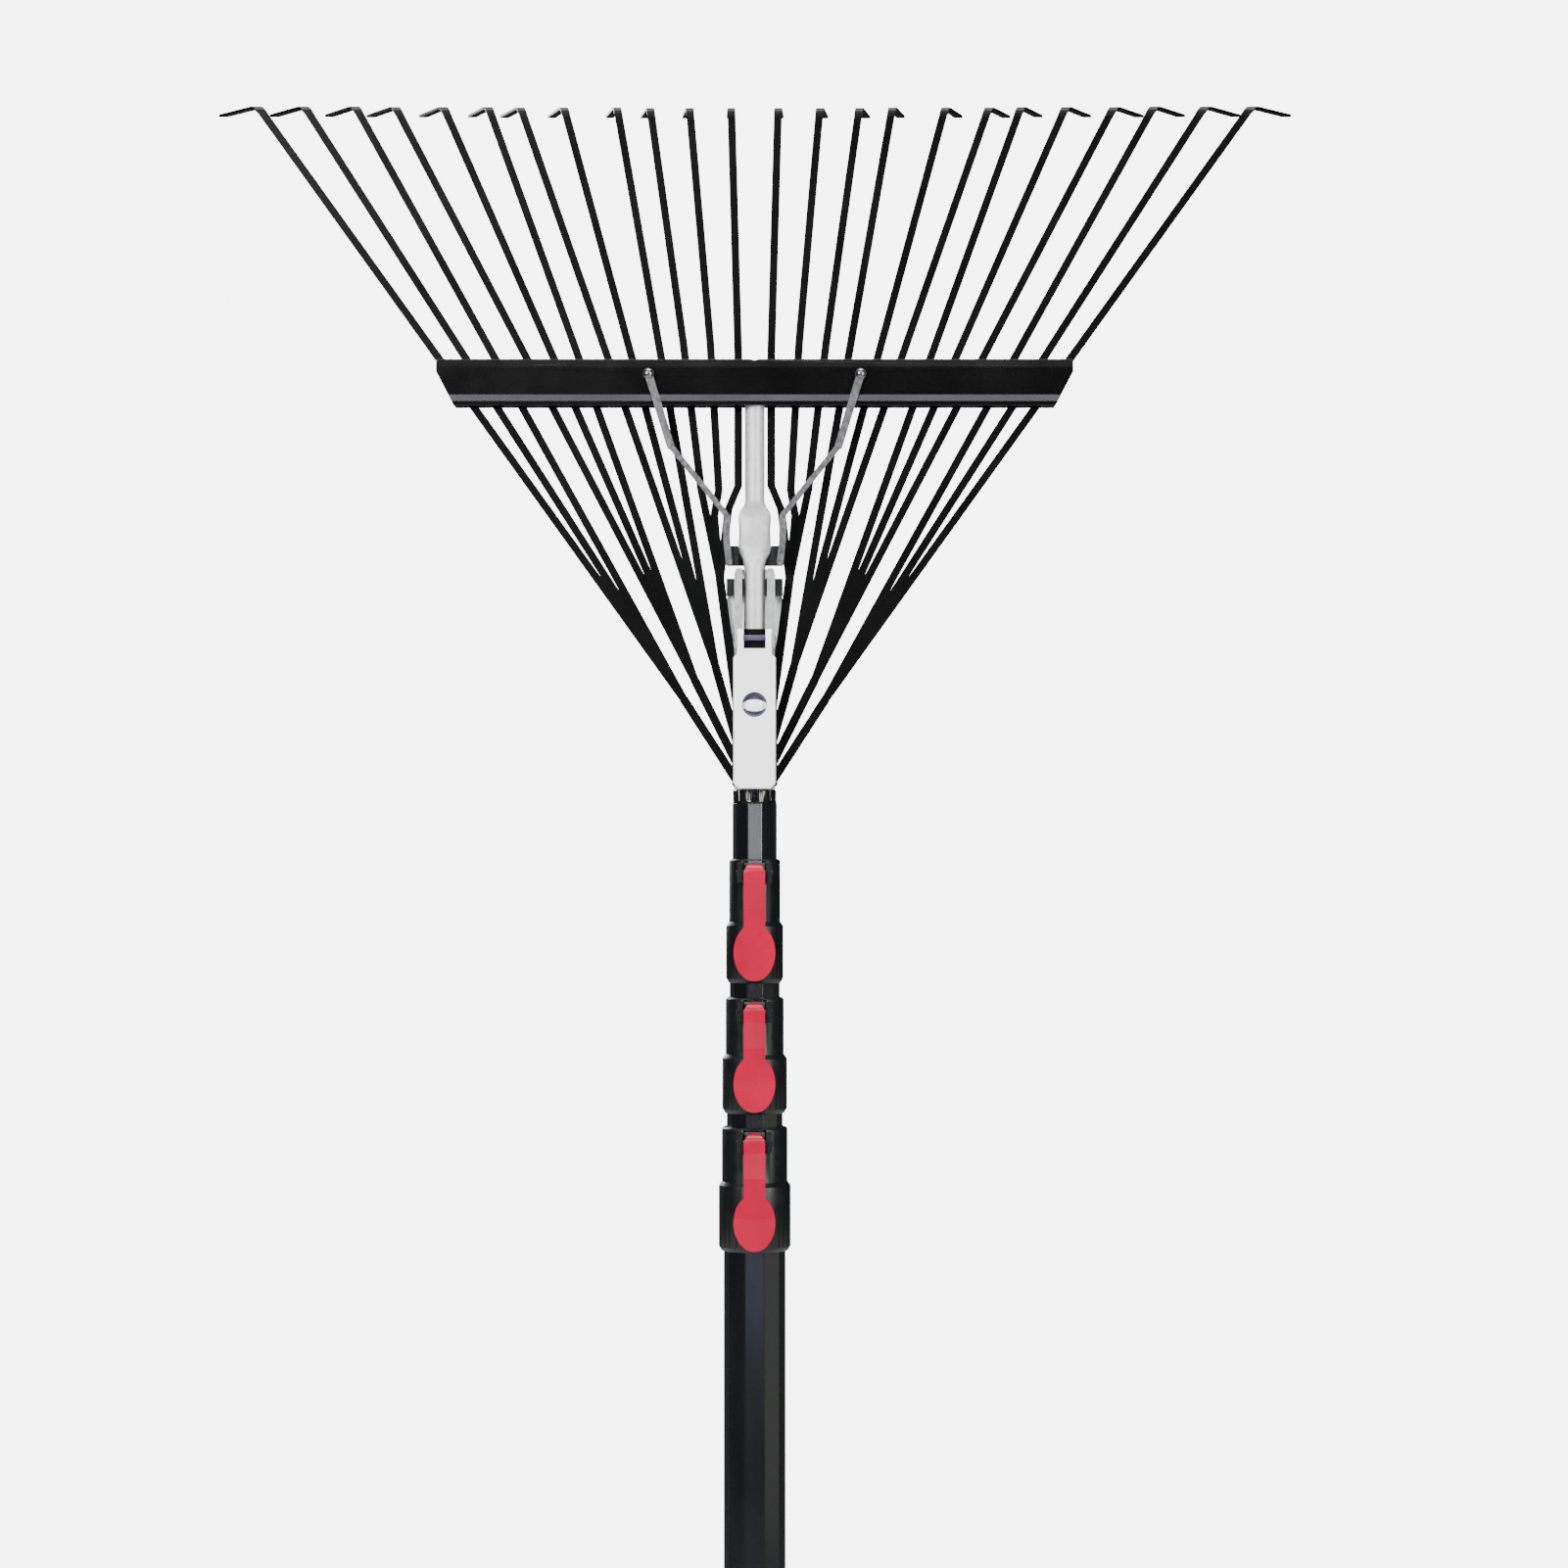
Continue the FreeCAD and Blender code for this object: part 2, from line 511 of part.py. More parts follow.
def dome():
    """The domed rivet in the lever's round hole, on a disc that fills the hole's back."""
    centre = Vector(0, -size("clamp_front") + size("dome_seat"), size("dome_height"))
    disc = Part.makeCylinder(size("dome_hole"), size("dome_disc"), centre, Vector(0, 1, 0))
    cap = Part.makeSphere(size("dome_sphere"), centre + Vector(0, size("dome_sink"), 0))
    cap = cap.common(Part.makeCylinder(size("dome_radius"), size("through"), centre, Vector(0, -1, 0)))
    part(feature("lever_dome", disc.fuse(cap).removeSplitter()), "lever_dome")


def crossbar():
    """The two shells with the tines between them, the spacers and the brace rivets."""
    for name, sign, inner in (("front", -1, size("bar_front_inner")), ("back", 1, size("bar_back_inner"))):
        shell = bar_shell(name, sign, inner)
        ends = bar_ends(name)
        core = rod("bar_stem_%s" % name, "stem_radius", "through", "0", "0", "bar_bottom - through / 2")
        holes = [rod("bar_hole_%s_%d" % (name, side), "pin_radius", "through",
                     "%d * brace_rivet" % side, "-through / 2", "bar_top - brace_hole_drop", ALONG_Y)
                 for side in (-1, 1)]
        shared = common("bar_%s_shared" % name, shell, ends)
        part(cut("crossbar_%s" % name, shared, core, *holes), "crossbar_%s" % name)
    spacers = [rod("spacer_%s_%d" % (key, side), "spacer_radius",
                   "bar_front_inner + bar_back_inner + 2 * (bar_depth - bar_sheet)",
                   "%d * %s" % (side, key), "-bar_front_inner - bar_depth + bar_sheet", "bar_top - spacer_drop",
                   ALONG_Y)
               for key in ("spacer_inner", "spacer_outer") for side in (-1, 1)]
    part(group("crossbar_spacers", *spacers), "crossbar_spacers")


def bar_shell(name, sign, inner):
    """A folded channel with a chamfered top edge and a rounded bead along the bottom."""
    low, high = size("bar_bottom"), size("bar_top")
    sheet_t, depth, bead = size("bar_sheet"), size("bar_depth"), size("bar_bead")
    face = sign * (inner + depth)
    lip = sign * inner
    web = sign * (inner + depth - sheet_t)
    slope = sign * (inner + size("bar_slope_lip"))
    slope_in = slope - sign * sheet_t / 2
    bulge = face + sign * bead
    points = [
        (lip, high), (slope, high), (face, high - size("bar_slope")), (face, low + size("bead_top")),
        (bulge, low + size("bead_foot")), (bulge, low), (lip, low), (lip, low + sheet_t),
        (web, low + sheet_t), (web, high - size("bar_slope") - sheet_t / 4), (slope_in, high - sheet_t),
        (lip, high - sheet_t),
    ]
    return pad("bar_%s_shell" % name, "YZ_Plane", outline(points), "2 * bar_half_top + 10")


def bar_ends(name):
    """A block with the crossbar's front outline: upright ends that then slant inward."""
    low, high = size("bar_bottom") - 5, size("bar_top") + 5
    wide, slim = size("bar_half_top"), size("bar_half_bottom")
    corner = size("bar_top") - size("bar_straight")
    slope = (wide - slim) / (corner - size("bar_bottom"))
    points = [(wide, high), (wide, corner), (slim - 5 * slope, low)]
    return pad("bar_%s_ends" % name, "XZ_Plane", outline(mirrored(points)), "60")


def spade_half(round_end, flat_end, radius):
    """Heights and half sizes from the round tube to the flat middle of the spade."""
    start, flat = size("spade_" + round_end), size("spade_" + flat_end)
    middle = (size("spade_low") + size("spade_high")) / 2
    steps = int(size("spade_steps"))
    stations = []
    for step in range(steps + 1):
        along = step / steps
        ease = along * along * (3 - 2 * along)
        across = size(radius) + (size("spade_half") - size(radius)) * ease
        deep = size(radius) + (size("spade_thin") - size(radius)) * ease
        stations.append((start + (flat - start) * along, across, deep))
    stations.append(((flat * 2 + middle) / 3, size("spade_half"), size("spade_thin")))
    return stations


def stem():
    """The sliding tube, pressed flat along its spade."""
    lower = rod("stem_lower", "stem_low_radius", "spade_bottom - stem_bottom", "0", "0", "stem_bottom")
    lower_bore = rod("stem_lower_bore", "stem_low_radius - stem_wall",
                     "spade_bottom - stem_bottom - spade_plug", "0", "0", "stem_bottom")
    upper = rod("stem_upper", "stem_radius", "stem_top - spade_top", "0", "0", "spade_top")
    upper_bore = rod("stem_upper_bore", "stem_radius - stem_wall", "stem_top - spade_top", "0", "0",
                     "spade_top + spade_plug")
    stations = spade_half("bottom", "low", "stem_low_radius")
    stations += spade_half("top", "high", "stem_radius")[::-1]
    rings = []
    for z, across, deep in stations:
        steps = [math.radians(15 * k) for k in range(24)]
        ring = [Vector(across * math.cos(a), deep * math.sin(a), z) for a in steps]
        curve = Part.BSplineCurve()
        curve.interpolate(ring, PeriodicFlag=True)
        rings.append(Part.Wire([curve.toShape()]))
    spade = feature("stem_spade", Part.makeLoft(rings, True, False))
    part(cut("stem_tube", fuse("stem_blank", lower, spade, upper), lower_bore, upper_bore), "stem_tube")


def yoke():
    """The black block behind the spade, with a lug on each side for a brace."""
    block = box("yoke_block", "2 * yoke_half", "yoke_front + yoke_back", "yoke_top - yoke_bottom",
                "-yoke_half", "-yoke_front", "yoke_bottom")
    window = box("yoke_mouth", "2 * yoke_window", "yoke_front", "through", "-yoke_window",
                 "-yoke_front", "yoke_bottom - through / 2")
    part(cut("yoke", block, window, doc.getObject("stem_spade")), "yoke")


def brace_front():
    """How far forward the braces' front faces are."""
    bar = size("bar_front_inner") + size("bar_depth") + size("bar_bead")
    return -bar - size("brace_play") - size("brace_thickness")


def brace(name, sign):
    """A flat strut from the crossbar's rivet down to the yoke."""
    thin, front = size("brace_thickness"), brace_front()
    rivet_x, rivet_z = size("brace_rivet"), size("bar_top") - size("brace_hole_drop")
    foot, toe, toe_half = size("brace_foot"), size("brace_toe"), size("brace_toe_half")
    slim, leg = size("brace_slim"), size("brace_leg")
    centre = [(rivet_x, rivet_z, size("brace_half")),
              (size("brace_knee"), size("brace_knee_height"), size("brace_half")),
              (size("brace_knee"), size("brace_knee_height"), slim), (foot, size("spade_high"), slim),
              (foot, size("spade_high"), leg), (foot, size("brace_leg_low"), leg),
              (toe, size("yoke_bottom") + toe_half, toe_half)]
    solids = [Part.makeCylinder(size("brace_eye"), thin, Vector(sign * rivet_x, front, rivet_z),
                                Vector(0, 1, 0))]
    for (x0, z0, w0), (x1, z1, w1) in zip(centre, centre[1:]):
        long = math.hypot(x1 - x0, z1 - z0)
        if not long:
            continue
        nx, nz = (z1 - z0) / long, -(x1 - x0) / long
        corners = [(x0 + nx * w0, z0 + nz * w0), (x1 + nx * w1, z1 + nz * w1),
                   (x1 - nx * w1, z1 - nz * w1), (x0 - nx * w0, z0 - nz * w0)]
        ends = [Vector(sign * x, front, z) for x, z in corners]
        solids.append(Part.Face(Part.makePolygon(ends + ends[:1])).extrude(Vector(0, thin, 0)))
        solids.append(Part.makeCylinder(w1, thin, Vector(sign * x1, front, z1), Vector(0, 1, 0)))
    foot_block = Part.makeBox(2 * toe_half, -size("yoke_front") - front - thin, 2 * toe_half,
                              Vector(sign * toe - toe_half, front + thin, size("yoke_bottom")))
    solids.append(foot_block)
    blank = solids[0].fuse(solids[1:]).removeSplitter()
    hole = Part.makeCylinder(size("pin_radius"), thin, Vector(sign * rivet_x, front, rivet_z),
                             Vector(0, 1, 0))
    part(feature(name, blank.cut(hole)), name)


def brace_rivets():
    """The rivets that hold the braces to the crossbar."""
    solids = []
    front = brace_front()
    back = size("bar_back_inner") + size("bar_depth")
    for sign in (-1, 1):
        start = Vector(sign * size("brace_rivet"), front, size("bar_top") - size("brace_hole_drop"))
        shank = Part.makeCylinder(size("pin_radius"), back - front, start, Vector(0, 1, 0))
        head = Part.makeSphere(size("brace_head_sphere"), start + Vector(0, size("brace_head_sink"), 0))
        head = head.common(Part.makeCylinder(size("brace_head"), size("through"), start,
                                             Vector(0, -1, 0)))
        solids.append(shank.fuse(head).removeSplitter())
    part(feature("brace_rivets", Part.makeCompound(solids)), "brace_rivets")


def tine(points, sign, layer):
    """One tine through (x, z) points, then its hook, folded back about a line along X."""
    half = size("leaf_thickness") / 2
    bend, depth = size("hook_bend"), size("hook_depth")
    stations = []
    for index, (x, z) in enumerate(points):
        near = points[max(index - 1, 0)]
        far = points[min(index + 1, len(points) - 1)]
        slope = (far[0] - near[0]) / (far[1] - near[1])
        stations.append((x, layer, z, 0.0, slope))
    (x0, z0), (x1, z1) = points[-2:]
    slope = (x1 - x0) / (z1 - z0)
    turn_height = z1 - bend
    stations[-1] = (x1 - bend * slope, layer, turn_height, 0.0, slope)
    for step in range(1, 6):
        angle = math.radians(18 * step)
        along = bend * angle
        stations.append((x1 - bend * slope + along * slope, layer + bend * (1 - math.cos(angle)),
                         turn_height + bend * math.sin(angle), angle, slope))
    straight = depth - bend
    last = stations[-1]
    stations.append((last[0] + straight * slope, last[1] + straight, last[2], last[3], slope))
    wires = []
    for x, y, z, angle, lean in stations:
        wide = size("tine_width") / 2 * math.hypot(1, lean)
        normal = Vector(0, -math.cos(angle), math.sin(angle))
        middle = Vector(sign * x, y, z)
        across = Vector(wide, 0, 0)
        ring = [middle - across - normal * half, middle + across - normal * half,
                middle + across + normal * half, middle - across + normal * half]
        wires.append(Part.makePolygon(ring + ring[:1]))
    return Part.makeLoft(wires, True, True)


def leaf(name, sign):
    """A leaf: an eye on its rivet, a tang up to the neck, and three tines."""
    layer = leaf_layer(name)
    pivot = (size("pivot_half"), size(name + "_rivet"))
    neck = (size(name + "_neck_x"), size(name + "_neck_z"))
    solids = []
    for index in range(TINES_EACH):
        bends = INNER_BENDS[index] if name == "inner" else ()
        tip = (size("%s_tip_%d" % (name, index + 1)), size("tip_height"))
        solids.append(tine([neck, *bends, tip], sign, layer))
    half, thick = size("tang_width") / 2, size("leaf_thickness")
    long = math.hypot(neck[0] - pivot[0], neck[1] - pivot[1])
    nx, nz = (neck[1] - pivot[1]) / long * half, -(neck[0] - pivot[0]) / long * half
    corners = [(pivot[0] + nx, pivot[1] + nz), (neck[0] + nx, neck[1] + nz),
               (neck[0] - nx, neck[1] - nz), (pivot[0] - nx, pivot[1] - nz)]
    ends = [Vector(sign * x, layer - thick / 2, z) for x, z in corners]
    solids.append(Part.Face(Part.makePolygon(ends + ends[:1])).extrude(Vector(0, thick, 0)))
    for (x, z), radius in ((pivot, size("eye_radius")), (neck, half)):
        start = Vector(sign * x, layer - thick / 2, z)
        solids.append(Part.makeCylinder(radius, thick, start, Vector(0, 1, 0)))
    blank = solids[0].fuse(solids[1:]).removeSplitter()
    hole = Part.makeCylinder(size("rivet_radius") + size("rivet_fit"), thick,
                             Vector(sign * pivot[0], layer - thick / 2, pivot[1]), Vector(0, 1, 0))
    side = "left" if sign < 0 else "right"
    part(feature("%s_leaf_%s" % (name, side), blank.cut(hole)), "%s_leaf_%s" % (name, side))


def check():
    """Stop unless every object is sound and every sub-part is closed."""
    for item in doc.Objects:
        if "Invalid" in item.State or "Error" in item.State:
            raise RuntimeError("%s is %s" % (item.Label, item.State))
    for item in parts:
        shape = item.Shape
        if shape.isNull() or not shape.isValid() or not shape.Solids:
            raise RuntimeError("%s has no sound shape" % item.Label)


end_cap()
for section, key in (("outer_tube", "outer"), ("second_tube", "second"), ("third_tube", "third"),
                     ("fourth_tube", "fourth")):
    tube(section, key)
guide_plug("second_plug", "second", "outer")
guide_plug("third_plug", "third", "second")
guide_plug("fourth_plug", "fourth", "third")
lock("lower", "outer", "second")
lock("middle", "second", "third")
lock("upper", "third", "fourth")
ferrule()
bracket()
rivets()
guide_bush()
clamp_lever()
stem()
doc.recompute()
yoke()
brace("brace_left", -1)
brace("brace_right", 1)
crossbar()
brace_rivets()
for leaf_name in LEAVES:
    leaf(leaf_name, -1)
    leaf(leaf_name, 1)

doc.recompute()
check()
os.makedirs("parts", exist_ok=True)
for item in parts:
    item.Shape.exportStep("parts/%s.step" % item.Label)
    print(item.Label, len(item.Shape.Solids), round(item.Shape.Volume, 1))
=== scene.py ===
import json
import math

import bpy
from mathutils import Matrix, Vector


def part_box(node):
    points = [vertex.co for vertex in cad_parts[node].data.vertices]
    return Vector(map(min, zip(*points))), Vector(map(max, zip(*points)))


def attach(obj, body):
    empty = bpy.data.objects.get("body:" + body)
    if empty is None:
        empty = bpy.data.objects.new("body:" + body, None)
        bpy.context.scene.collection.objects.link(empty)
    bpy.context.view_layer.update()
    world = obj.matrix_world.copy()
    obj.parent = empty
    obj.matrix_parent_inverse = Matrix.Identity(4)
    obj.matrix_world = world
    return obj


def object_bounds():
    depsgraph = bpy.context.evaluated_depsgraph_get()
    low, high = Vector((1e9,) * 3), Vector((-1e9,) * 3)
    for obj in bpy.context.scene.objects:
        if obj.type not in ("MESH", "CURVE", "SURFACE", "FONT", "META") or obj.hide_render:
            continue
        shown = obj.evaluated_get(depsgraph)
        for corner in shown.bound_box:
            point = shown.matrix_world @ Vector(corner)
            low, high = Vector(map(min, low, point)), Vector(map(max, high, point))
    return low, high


# The leaf rake's looks: a material for every node, small surface pieces, floor, light and camera.
# Lengths are in metres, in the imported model's own frame.

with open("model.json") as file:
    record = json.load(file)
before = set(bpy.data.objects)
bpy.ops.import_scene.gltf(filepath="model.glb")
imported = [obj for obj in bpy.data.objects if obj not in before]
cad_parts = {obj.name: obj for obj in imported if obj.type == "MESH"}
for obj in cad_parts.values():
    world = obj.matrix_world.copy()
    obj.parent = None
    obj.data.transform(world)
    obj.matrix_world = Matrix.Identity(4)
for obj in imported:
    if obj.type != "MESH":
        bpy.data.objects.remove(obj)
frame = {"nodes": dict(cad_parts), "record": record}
cad_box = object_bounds()
nodes = frame["nodes"]

CAMERA_DISTANCE = 2.5
CAMERA_RIGHT = 0.0165
CAMERA_HEIGHT = 0.8528
FRAME_WIDTH = 0.8830
SENSOR_WIDTH = 36.0
FLOOR_RADIUS = 1.6
FLOOR_GAP = 0.001
FLOOR_STEPS = 60
SEEN_SURROUND = 6.5
REFLECTED_SURROUND = 0.06
NOISE_ROUGHNESS = 0.55
BUMP_DISTANCE = 0.0002
ZINC_GLOSS_SPREAD = 0.05
WELD_DISTANCE = 0.00001
SHARP_EDGE = math.radians(30)
WIDE_EDGE = 1.0
MM = 0.001


# Material helpers

class Shader:
    """A node material with a Principled surface, built up one node at a time."""

    def __init__(self, name, color, roughness=0.5, metallic=0.0, **sockets):
        self.material = bpy.data.materials.new(name)
        self.material.use_nodes = True
        self.tree = self.material.node_tree
        self.surface = self.tree.nodes["Principled BSDF"]
        self.surface.inputs["Base Color"].default_value = (*color, 1.0)
        self.surface.inputs["Roughness"].default_value = roughness
        self.surface.inputs["Metallic"].default_value = metallic
        for key, value in sockets.items():
            self.surface.inputs[key.replace("_", " ")].default_value = value

    def add(self, kind, **settings):
        node = self.tree.nodes.new(kind)
        for key, value in settings.items():
            setattr(node, key, value)
        return node

    def link(self, source, target):
        self.tree.links.new(source, target)

    def coordinates(self, stretch=(1, 1, 1)):
        """Object coordinates in metres, stretched along the axes."""
        where = self.add("ShaderNodeTexCoord")
        mapping = self.add("ShaderNodeMapping")
        mapping.inputs["Scale"].default_value = stretch
        self.link(where.outputs["Object"], mapping.inputs["Vector"])
        return mapping.outputs["Vector"]

    def noise(self, scale, detail=3.0, stretch=(1, 1, 1)):
        node = self.add("ShaderNodeTexNoise")
        node.inputs["Scale"].default_value = scale
        node.inputs["Detail"].default_value = detail
        node.inputs["Roughness"].default_value = NOISE_ROUGHNESS
        self.link(self.coordinates(stretch), node.inputs["Vector"])
        return node.outputs["Fac"]

    def cells(self, scale):
        """The flat-sided flakes of a galvanised surface."""
        node = self.add("ShaderNodeTexVoronoi")
        node.inputs["Scale"].default_value = scale
        self.link(self.coordinates(), node.inputs["Vector"])
        return node.outputs["Color"]

    def spread(self, value, low, high, start=0.3, end=0.7):
        """Map a 0 to 1 pattern to a range."""
        node = self.add("ShaderNodeMapRange")
        node.inputs["From Min"].default_value = start
        node.inputs["From Max"].default_value = end
        node.inputs["To Min"].default_value = low
        node.inputs["To Max"].default_value = high
        self.link(value, node.inputs["Value"])
        return node.outputs["Result"]

    def vary_color(self, value, first, second, start=0.3, end=0.7):
        """Blend from the first colour to the second as a pattern runs from start to end."""
        node = self.add("ShaderNodeMix", data_type="RGBA")
        self.link(self.spread(value, 0.0, 1.0, start, end), node.inputs["Factor"])
        node.inputs["A"].default_value = (*first, 1.0)
        node.inputs["B"].default_value = (*second, 1.0)
        self.link(node.outputs["Result"], self.surface.inputs["Base Color"])

    def vary_roughness(self, value, low, high, start=0.3, end=0.7):
        self.link(self.spread(value, low, high, start, end), self.surface.inputs["Roughness"])

    def bump(self, value, depth):
        """Raise a pattern a little from the surface; the last step, so it returns the shader."""
        node = self.add("ShaderNodeBump")
        node.inputs["Strength"].default_value = depth
        node.inputs["Distance"].default_value = BUMP_DISTANCE
        self.link(value, node.inputs["Height"])
        self.link(node.outputs["Normal"], self.surface.inputs["Normal"])
        return self


def black_rubber():
    """Moulded rubber: a matt grain with a slightly greyer bloom."""
    shader = Shader("rubber", (0.012, 0.012, 0.013), 0.66)
    shader.vary_color(shader.noise(60.0), (0.009, 0.009, 0.010), (0.020, 0.020, 0.021))
    shader.vary_roughness(shader.noise(140.0), 0.58, 0.74)
    return shader.bump(shader.noise(1500.0, 4.0), 0.3).material


def black_tube():
    """Gloss black enamel on drawn tube: faint draw lines and the odd duller patch."""
    shader = Shader("tube_enamel", (0.002, 0.002, 0.003), 0.2, 0.0, Coat_Weight=0.5,
                    Coat_Roughness=0.1)
    lines = shader.noise(500.0, 2.0, stretch=(1, 1, 0.02))
    patches = shader.noise(30.0, 4.0, stretch=(1, 1, 0.3))
    shader.vary_color(patches, (0.0015, 0.0017, 0.0026), (0.003, 0.0034, 0.0046))
    shader.vary_roughness(patches, 0.17, 0.25)
    return shader.bump(lines, 0.03).material


def satin_black(name, color, low, high, gloss=0.5, peel=0.08):
    """Powder coat: an even, very fine orange peel, a touch duller where it has been handled."""
    shader = Shader(name, color, (low + high) / 2, 0.0, Specular_IOR_Level=gloss)
    handled = shader.noise(26.0, 3.0)
    shader.vary_color(handled, color, tuple(1.5 * c for c in color), 0.45, 0.8)
    shader.vary_roughness(handled, low, high)
    return shader.bump(shader.noise(2200.0, 2.0), peel).material


def black_nylon():
    """Glass-filled nylon: satin, with a fine moulded grain."""
    shader = Shader("nylon", (0.002, 0.003, 0.003), 0.36, 0.0, Specular_IOR_Level=0.3)
    shader.vary_color(shader.noise(70.0), (0.0014, 0.0022, 0.0024), (0.0026, 0.0038, 0.0042))
    shader.vary_roughness(shader.noise(160.0), 0.34, 0.46)
    return shader.bump(shader.noise(1900.0, 3.0), 0.1).material


def red_plastic():
    """Glossy moulded red with a little depth and soft flow marks."""
    shader = Shader("red_lever", (0.31, 0.0, 0.022), 0.34, 0.0, Specular_IOR_Level=0.15,
                    Coat_Weight=0.2, Coat_Roughness=0.2)
    shader.vary_color(shader.noise(45.0, stretch=(1, 1, 0.5)), (0.28, 0.0001, 0.019),
                      (0.34, 0.0002, 0.025))
    shader.vary_roughness(shader.noise(240.0), 0.27, 0.36)
    return shader.bump(shader.noise(1600.0), 0.05).material


def zinc(name, dark, light, scale, rough, metal):
    """Galvanised steel: crystal flakes that differ a little in tone and in gloss."""
    shader = Shader(name, light, rough, metal)
    flakes = shader.cells(scale)
    shader.vary_color(flakes, dark, light, 0.1, 0.9)
    shader.vary_roughness(flakes, rough - ZINC_GLOSS_SPREAD, rough + ZINC_GLOSS_SPREAD, 0.1, 0.9)
    return shader.bump(shader.noise(900.0), 0.06).material


def pin_steel(name, tone):
    """Turned steel: fine rings and a slightly darker skin in places."""
    shader = Shader(name, (tone, tone, tone), 0.3, 1.0)
    shader.vary_color(shader.noise(300.0), (0.8 * tone, 0.8 * tone, 0.82 * tone),
                      (1.15 * tone, 1.15 * tone, 1.17 * tone))
    shader.vary_roughness(shader.noise(500.0), 0.24, 0.38)
    return shader.bump(shader.noise(900.0, stretch=(1, 8, 1)), 0.12).material


def domed_rivet_painted_reflection():
    """Bright zinc with painted dark reflections: it darkens to two crescents on the dome's upper and
    lower slopes.
    """
    bright, dark = (0.99, 0.99, 0.99), (0.03, 0.028, 0.06)
    across, upward, lift = 2.12, 4.6, 2.16
    shader = Shader("dome_zinc_painted_reflection", bright, 0.4, 0.05)
    where = shader.add("ShaderNodeTexCoord")
    from_middle = shader.add("ShaderNodeMapping")
    from_middle.inputs["Location"].default_value = (-across / 2, 0, -lift)
    from_middle.inputs["Scale"].default_value = (across, 0, upward)
    shader.link(where.outputs["Generated"], from_middle.inputs["Vector"])
    reach = shader.add("ShaderNodeVectorMath", operation="LENGTH")
    shader.link(from_middle.outputs["Vector"], reach.inputs[0])
    # The two dark crescents are painted reflection, set by distance from the dome's middle.
    shader.vary_color(reach.outputs["Value"], bright, dark, 0.95, 1.15)
    shader.vary_roughness(shader.noise(500.0), 0.36, 0.44)
    return shader.bump(shader.noise(900.0), 0.06).material


MATERIALS = {
    "black_rubber": black_rubber(),
    "black_tube": black_tube(),
    "black_nylon": black_nylon(),
    "red_plastic": red_plastic(),
    "pin_steel": pin_steel("pin_steel", 0.5),
    "shoe_nylon": satin_black("shoe", (0.03, 0.03, 0.032), 0.45, 0.6),
    "ferrule_black": satin_black("ferrule_gloss", (0.002, 0.002, 0.0025), 0.16, 0.24),
    "zinc_sheet": zinc("zinc_sheet", (0.80, 0.81, 0.82), (0.90, 0.91, 0.92), 420.0, 0.42, 0.3),
    "zinc_lever": zinc("zinc_lever", (0.95, 0.955, 0.965), (0.99, 0.99, 0.99), 520.0, 0.4, 0.05),
    "zinc_tube": zinc("zinc_tube", (0.46, 0.46, 0.46), (0.56, 0.56, 0.565), 420.0, 0.5, 0.35),
    "bar_black": satin_black("bar_coat", (0.0006, 0.0006, 0.0008), 0.19, 0.25, 0.35, 0.02),
    "tine_black": satin_black("tine_coat", (0.0005, 0.0005, 0.0006), 0.30, 0.38, 0.12, 0.02),
    "brace_steel": zinc("brace_zinc", (0.12, 0.12, 0.123), (0.19, 0.19, 0.195), 520.0, 0.34, 0.7),
}
DARK_PIN = pin_steel("pin_dark", 0.03)
NODE_MATERIALS = {
    "lower_lever_pin": DARK_PIN, "middle_lever_pin": DARK_PIN, "upper_lever_pin": DARK_PIN,
    "brace_rivets": pin_steel("brace_rivet_dark", 0.16),
    # Painted shade: the front bracket is a darker copy of the bracket zinc.
    "bracket_front": zinc("zinc_front_painted_shade", (0.34, 0.34, 0.35), (0.44, 0.44, 0.45), 420.0, 0.42, 0.5),
    "lever_dome": domed_rivet_painted_reflection(),
    # Painted shade: the clamp pin and shoe are darkened past their own finish, for the shadow inside
    # the lever's window.
    "clamp_pin": satin_black("clamp_pin_painted_shade", (0.055, 0.048, 0.09), 0.4, 0.5, 0.15),
    "clamp_shoe": satin_black("clamp_shoe_painted_shade", (0.003, 0.003, 0.004), 0.45, 0.6, 0.05),
}
slot_of = {row["node"]: row["material_slot"] for row in frame["record"]["subparts"]}
for name, item in nodes.items():
    finish = NODE_MATERIALS.get(name, MATERIALS[slot_of[name]])
    for slot in item.material_slots:
        slot.material = finish
    if not item.material_slots:
        item.data.materials.append(finish)


# Edges: every pressed or moulded edge is a little rounded, so that it catches light (widths in mm)

EDGE_WIDTHS = {
    "lower_lock_collar": 0.5, "middle_lock_collar": 0.5, "upper_lock_collar": 0.5,
    "lower_cam_lever": 1.8, "middle_cam_lever": 1.8, "upper_cam_lever": 1.8,
    "end_cap": 0.6, "ferrule": 0.25, "guide_bush": 0.3, "yoke": 0.4,
    "bracket_back": 0.25, "bracket_front": 0.25, "brace_left": 0.25, "brace_right": 0.25,
    "crossbar_front": 0.35, "crossbar_back": 0.35, "clamp_lever": 0.35,
    "outer_tube": 0.5, "second_tube": 0.45, "third_tube": 0.4, "fourth_tube": 0.35,
}


def soften_edges():
    for name, width in EDGE_WIDTHS.items():
        item = nodes[name]
        weld = item.modifiers.new("weld", "WELD")
        weld.merge_threshold = WELD_DISTANCE
        bevel = item.modifiers.new("edge", "BEVEL")
        bevel.width = width * MM
        bevel.segments = 4 if width > WIDE_EDGE else 2
        bevel.limit_method = "ANGLE"
        bevel.angle_limit = SHARP_EDGE
        bevel.harden_normals = True


# Small surface pieces

def mesh_piece(name, verts, faces, material, body):
    mesh = bpy.data.meshes.new(name)
    mesh.from_pydata(verts, [], faces)
    item = bpy.data.objects.new(name, mesh)
    bpy.context.collection.objects.link(item)
    mesh.materials.append(material)
    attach(item, body)


